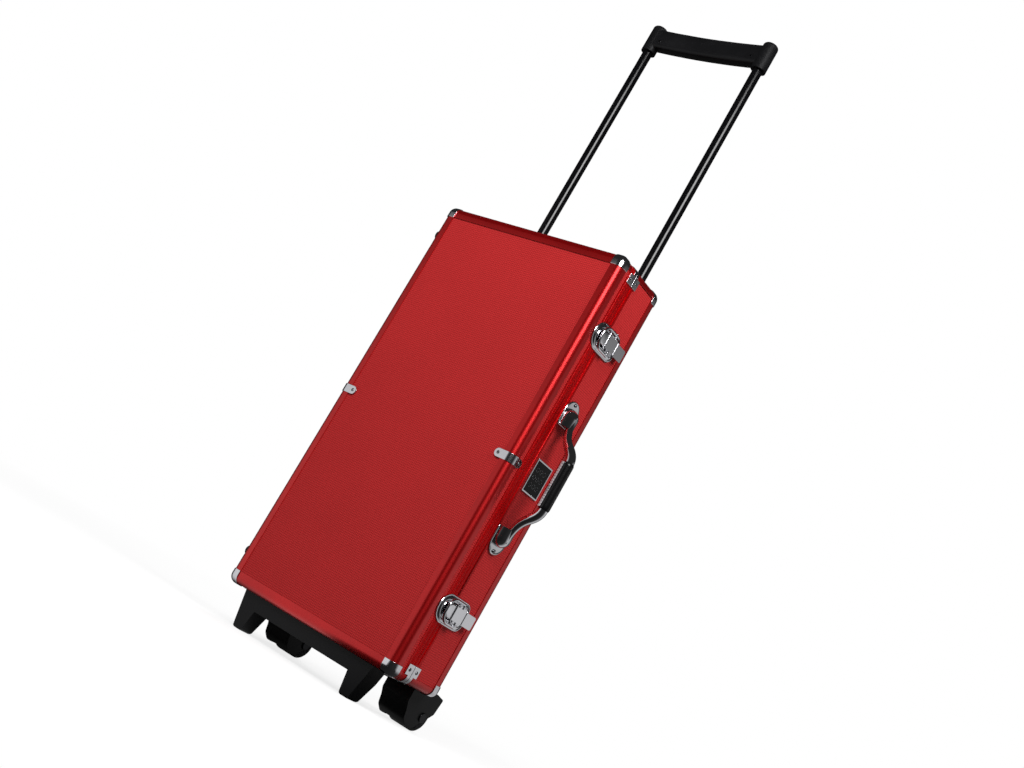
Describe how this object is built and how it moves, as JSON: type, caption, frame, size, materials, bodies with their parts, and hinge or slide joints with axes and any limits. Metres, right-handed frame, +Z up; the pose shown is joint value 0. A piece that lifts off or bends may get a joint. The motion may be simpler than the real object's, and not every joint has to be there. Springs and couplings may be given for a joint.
{
  "type": "rolling game case",
  "caption": "Upright rolling case for a tile game set: hinged lid, draw latches, folding carry handle, sliding trolley handle, wheels and tile tray.",
  "frame": {"origin": "on the floor under the middle of the whole object, with the trolley handle pulled out", "axes": "+Z up along the trolley rods, -Y out of the lid face, +X out of the side with the latches and carry handle"},
  "size_m": [0.344, 0.1447, 1.003],
  "materials": {
    "red_board": "red textured laminate on thin fibreboard",
    "red_anodised": "red anodised extrusion",
    "chrome_sheet": "bright chrome plate",
    "black_plate": "gloss black",
    "black_rod": "gloss black tube",
    "black_tube": "satin black tube",
    "black_plastic": "moulded black",
    "grip_plastic": "smooth black",
    "lining": "flocked black foam",
    "steel_screw": "zinc plated",
    "hub_plastic": "moulded dark grey",
    "black_tyre": "hard black rubber"
  },
  "bodies": {
    "case": {"back_panel": "red_board", "body_side_walls": "red_board", "body_edging": "red_anodised", "body_corner_edging": "red_anodised", "body_valance": "red_anodised", "body_corner_caps": "chrome_sheet", "body_seam_plates": "chrome_sheet", "tile_tray": "lining", "body_bumpers": "black_plastic", "body_rivets": "chrome_sheet", "upper_latch_base": "chrome_sheet", "lower_latch_base": "chrome_sheet", "latch_lever_pins": "chrome_sheet", "upper_handle_bracket": "chrome_sheet", "lower_handle_bracket": "chrome_sheet", "badge_frame": "chrome_sheet", "badge_plate": "black_plate", "upper_hinge_body_leaf": "chrome_sheet", "lower_hinge_body_leaf": "chrome_sheet", "hinge_pins": "chrome_sheet", "trolley_tube_left": "black_tube", "trolley_tube_right": "black_tube", "trolley_top_bracket": "black_plastic", "trolley_base": "black_plastic", "axle_left": "steel_screw", "axle_right": "steel_screw", "base_screws": "steel_screw"},
    "lid": {"lid_front_panel": "red_board", "lid_side_walls": "red_board", "lid_edging": "red_anodised", "lid_corner_edging": "red_anodised", "lid_valance": "red_anodised", "lid_corner_caps": "chrome_sheet", "lid_seam_plates": "chrome_sheet", "lid_mid_straps": "chrome_sheet", "lid_rivets": "chrome_sheet", "lid_bumpers": "black_plastic", "lid_lining_pad": "lining", "upper_latch_catch": "chrome_sheet", "lower_latch_catch": "chrome_sheet", "upper_hinge_lid_leaf": "chrome_sheet", "lower_hinge_lid_leaf": "chrome_sheet"},
    "upper_lever": {"upper_latch_lever": "chrome_sheet", "upper_ring_pin": "chrome_sheet"},
    "lower_lever": {"lower_latch_lever": "chrome_sheet", "lower_ring_pin": "chrome_sheet"},
    "upper_ring": {"upper_latch_ring": "chrome_sheet"},
    "lower_ring": {"lower_latch_ring": "chrome_sheet"},
    "carry_handle": {"handle_bail": "chrome_sheet", "carry_grip": "grip_plastic"},
    "trolley_handle": {"trolley_rod_left": "black_rod", "trolley_rod_right": "black_rod", "rod_sliders": "black_plastic", "trolley_grip": "black_plastic", "trolley_grip_screws": "steel_screw"},
    "wheel_left": {"wheel_hub_left": "hub_plastic", "tyre_left": "black_tyre"},
    "wheel_right": {"wheel_hub_right": "hub_plastic", "tyre_right": "black_tyre"}
  },
  "joints": [
    {"name": "lid_hinge", "type": "hinge", "parent": "case", "child": "lid", "pos_m": [-0.16878, -0.03352, 0.326], "axis": [0, 0, -1], "range_deg": [0, 105]},
    {"name": "upper_lever_hinge", "type": "hinge", "parent": "case", "child": "upper_lever", "pos_m": [0.13583, -0.02792, 0.51], "axis": [0, 0, -1], "range_deg": [0, 100]},
    {"name": "upper_ring_hinge", "type": "hinge", "parent": "upper_lever", "child": "upper_ring", "pos_m": [0.13583, -0.01512, 0.51], "axis": [0, 0, -1], "range_deg": [-125, 0]},
    {"name": "lower_lever_hinge", "type": "hinge", "parent": "case", "child": "lower_lever", "pos_m": [0.13583, -0.02792, 0.142], "axis": [0, 0, -1], "range_deg": [0, 100]},
    {"name": "lower_ring_hinge", "type": "hinge", "parent": "lower_lever", "child": "lower_ring", "pos_m": [0.13583, -0.01512, 0.142], "axis": [0, 0, -1], "range_deg": [-125, 0]},
    {"name": "carry_handle_hinge", "type": "hinge", "parent": "case", "child": "carry_handle", "pos_m": [0.13897, -0.01303, 0.326], "axis": [0, 0, 1], "range_deg": [-80, 80]},
    {"name": "trolley_slide", "type": "slide", "parent": "case", "child": "trolley_handle", "axis": [0, 0, 1], "range_m": [-0.345, 0]},
    {"name": "wheel_left_spin", "type": "hinge", "parent": "case", "child": "wheel_left", "pos_m": [-0.12502, 0.05198, 0.02], "axis": [1, 0, 0], "continuous": true},
    {"name": "wheel_right_spin", "type": "hinge", "parent": "case", "child": "wheel_right", "pos_m": [0.08997, 0.05198, 0.02], "axis": [1, 0, 0], "continuous": true}
  ],
  "couplings": [
    {"joint": "upper_ring_hinge", "follows": "upper_lever_hinge", "ratio": -1.25},
    {"joint": "lower_ring_hinge", "follows": "lower_lever_hinge", "ratio": -1.25}
  ]
}
